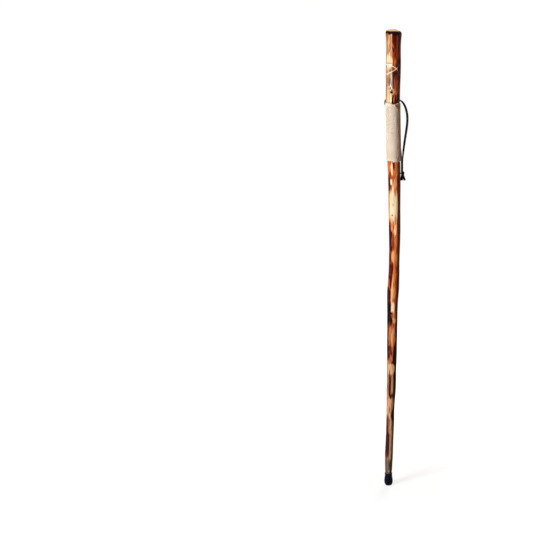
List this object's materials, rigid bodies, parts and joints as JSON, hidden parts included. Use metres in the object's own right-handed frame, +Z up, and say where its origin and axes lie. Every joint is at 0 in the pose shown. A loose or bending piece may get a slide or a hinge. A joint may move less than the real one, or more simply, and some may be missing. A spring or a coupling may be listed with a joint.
{
  "type": "walking stick",
  "caption": "Rustic varnished wooden walking stick with a cord-wound grip, a leather wrist strap through the shaft and a pull-off rubber tip cover.",
  "frame": {"origin": "centre of the tip cover's flat underside, where the stick meets the ground", "axes": "+Z up along the stick to its head, -Y towards the side with the knot and the cord's end, +X towards the side where the wrist strap hangs"},
  "size_m": [0.0653, 0.0577, 1.27],
  "materials": {
    "varnished_wood": "glossy clear varnish over natural wood with scraped pale patches and dark burnt streaks",
    "natural_cord": "matte twisted natural cord",
    "black_leather": "waxed smooth black leather lace",
    "black_rubber": "satin moulded black rubber",
    "plated_steel": "plain zinc plate"
  },
  "bodies": {
    "stick": {"shaft": "varnished_wood", "grip_winding": "natural_cord", "grip_cord_end": "natural_cord"},
    "strap": {"strap_front": "black_leather", "strap_rear": "black_leather", "strap_knot": "black_leather", "strap_tail_outer": "black_leather", "strap_tail_inner": "black_leather"},
    "tip": {"tip_cover": "black_rubber", "tip_washer": "plated_steel"}
  },
  "joints": [
    {"name": "strap_swing", "type": "hinge", "parent": "stick", "child": "strap", "pos_m": [0.01245, 0, 1.08848], "axis": [0.7547, -0.6561, 0], "range_deg": [0, 150]},
    {"name": "tip_pull", "type": "slide", "parent": "stick", "child": "tip", "axis": [0, 0, -1], "range_m": [0, 0.035]}
  ]
}
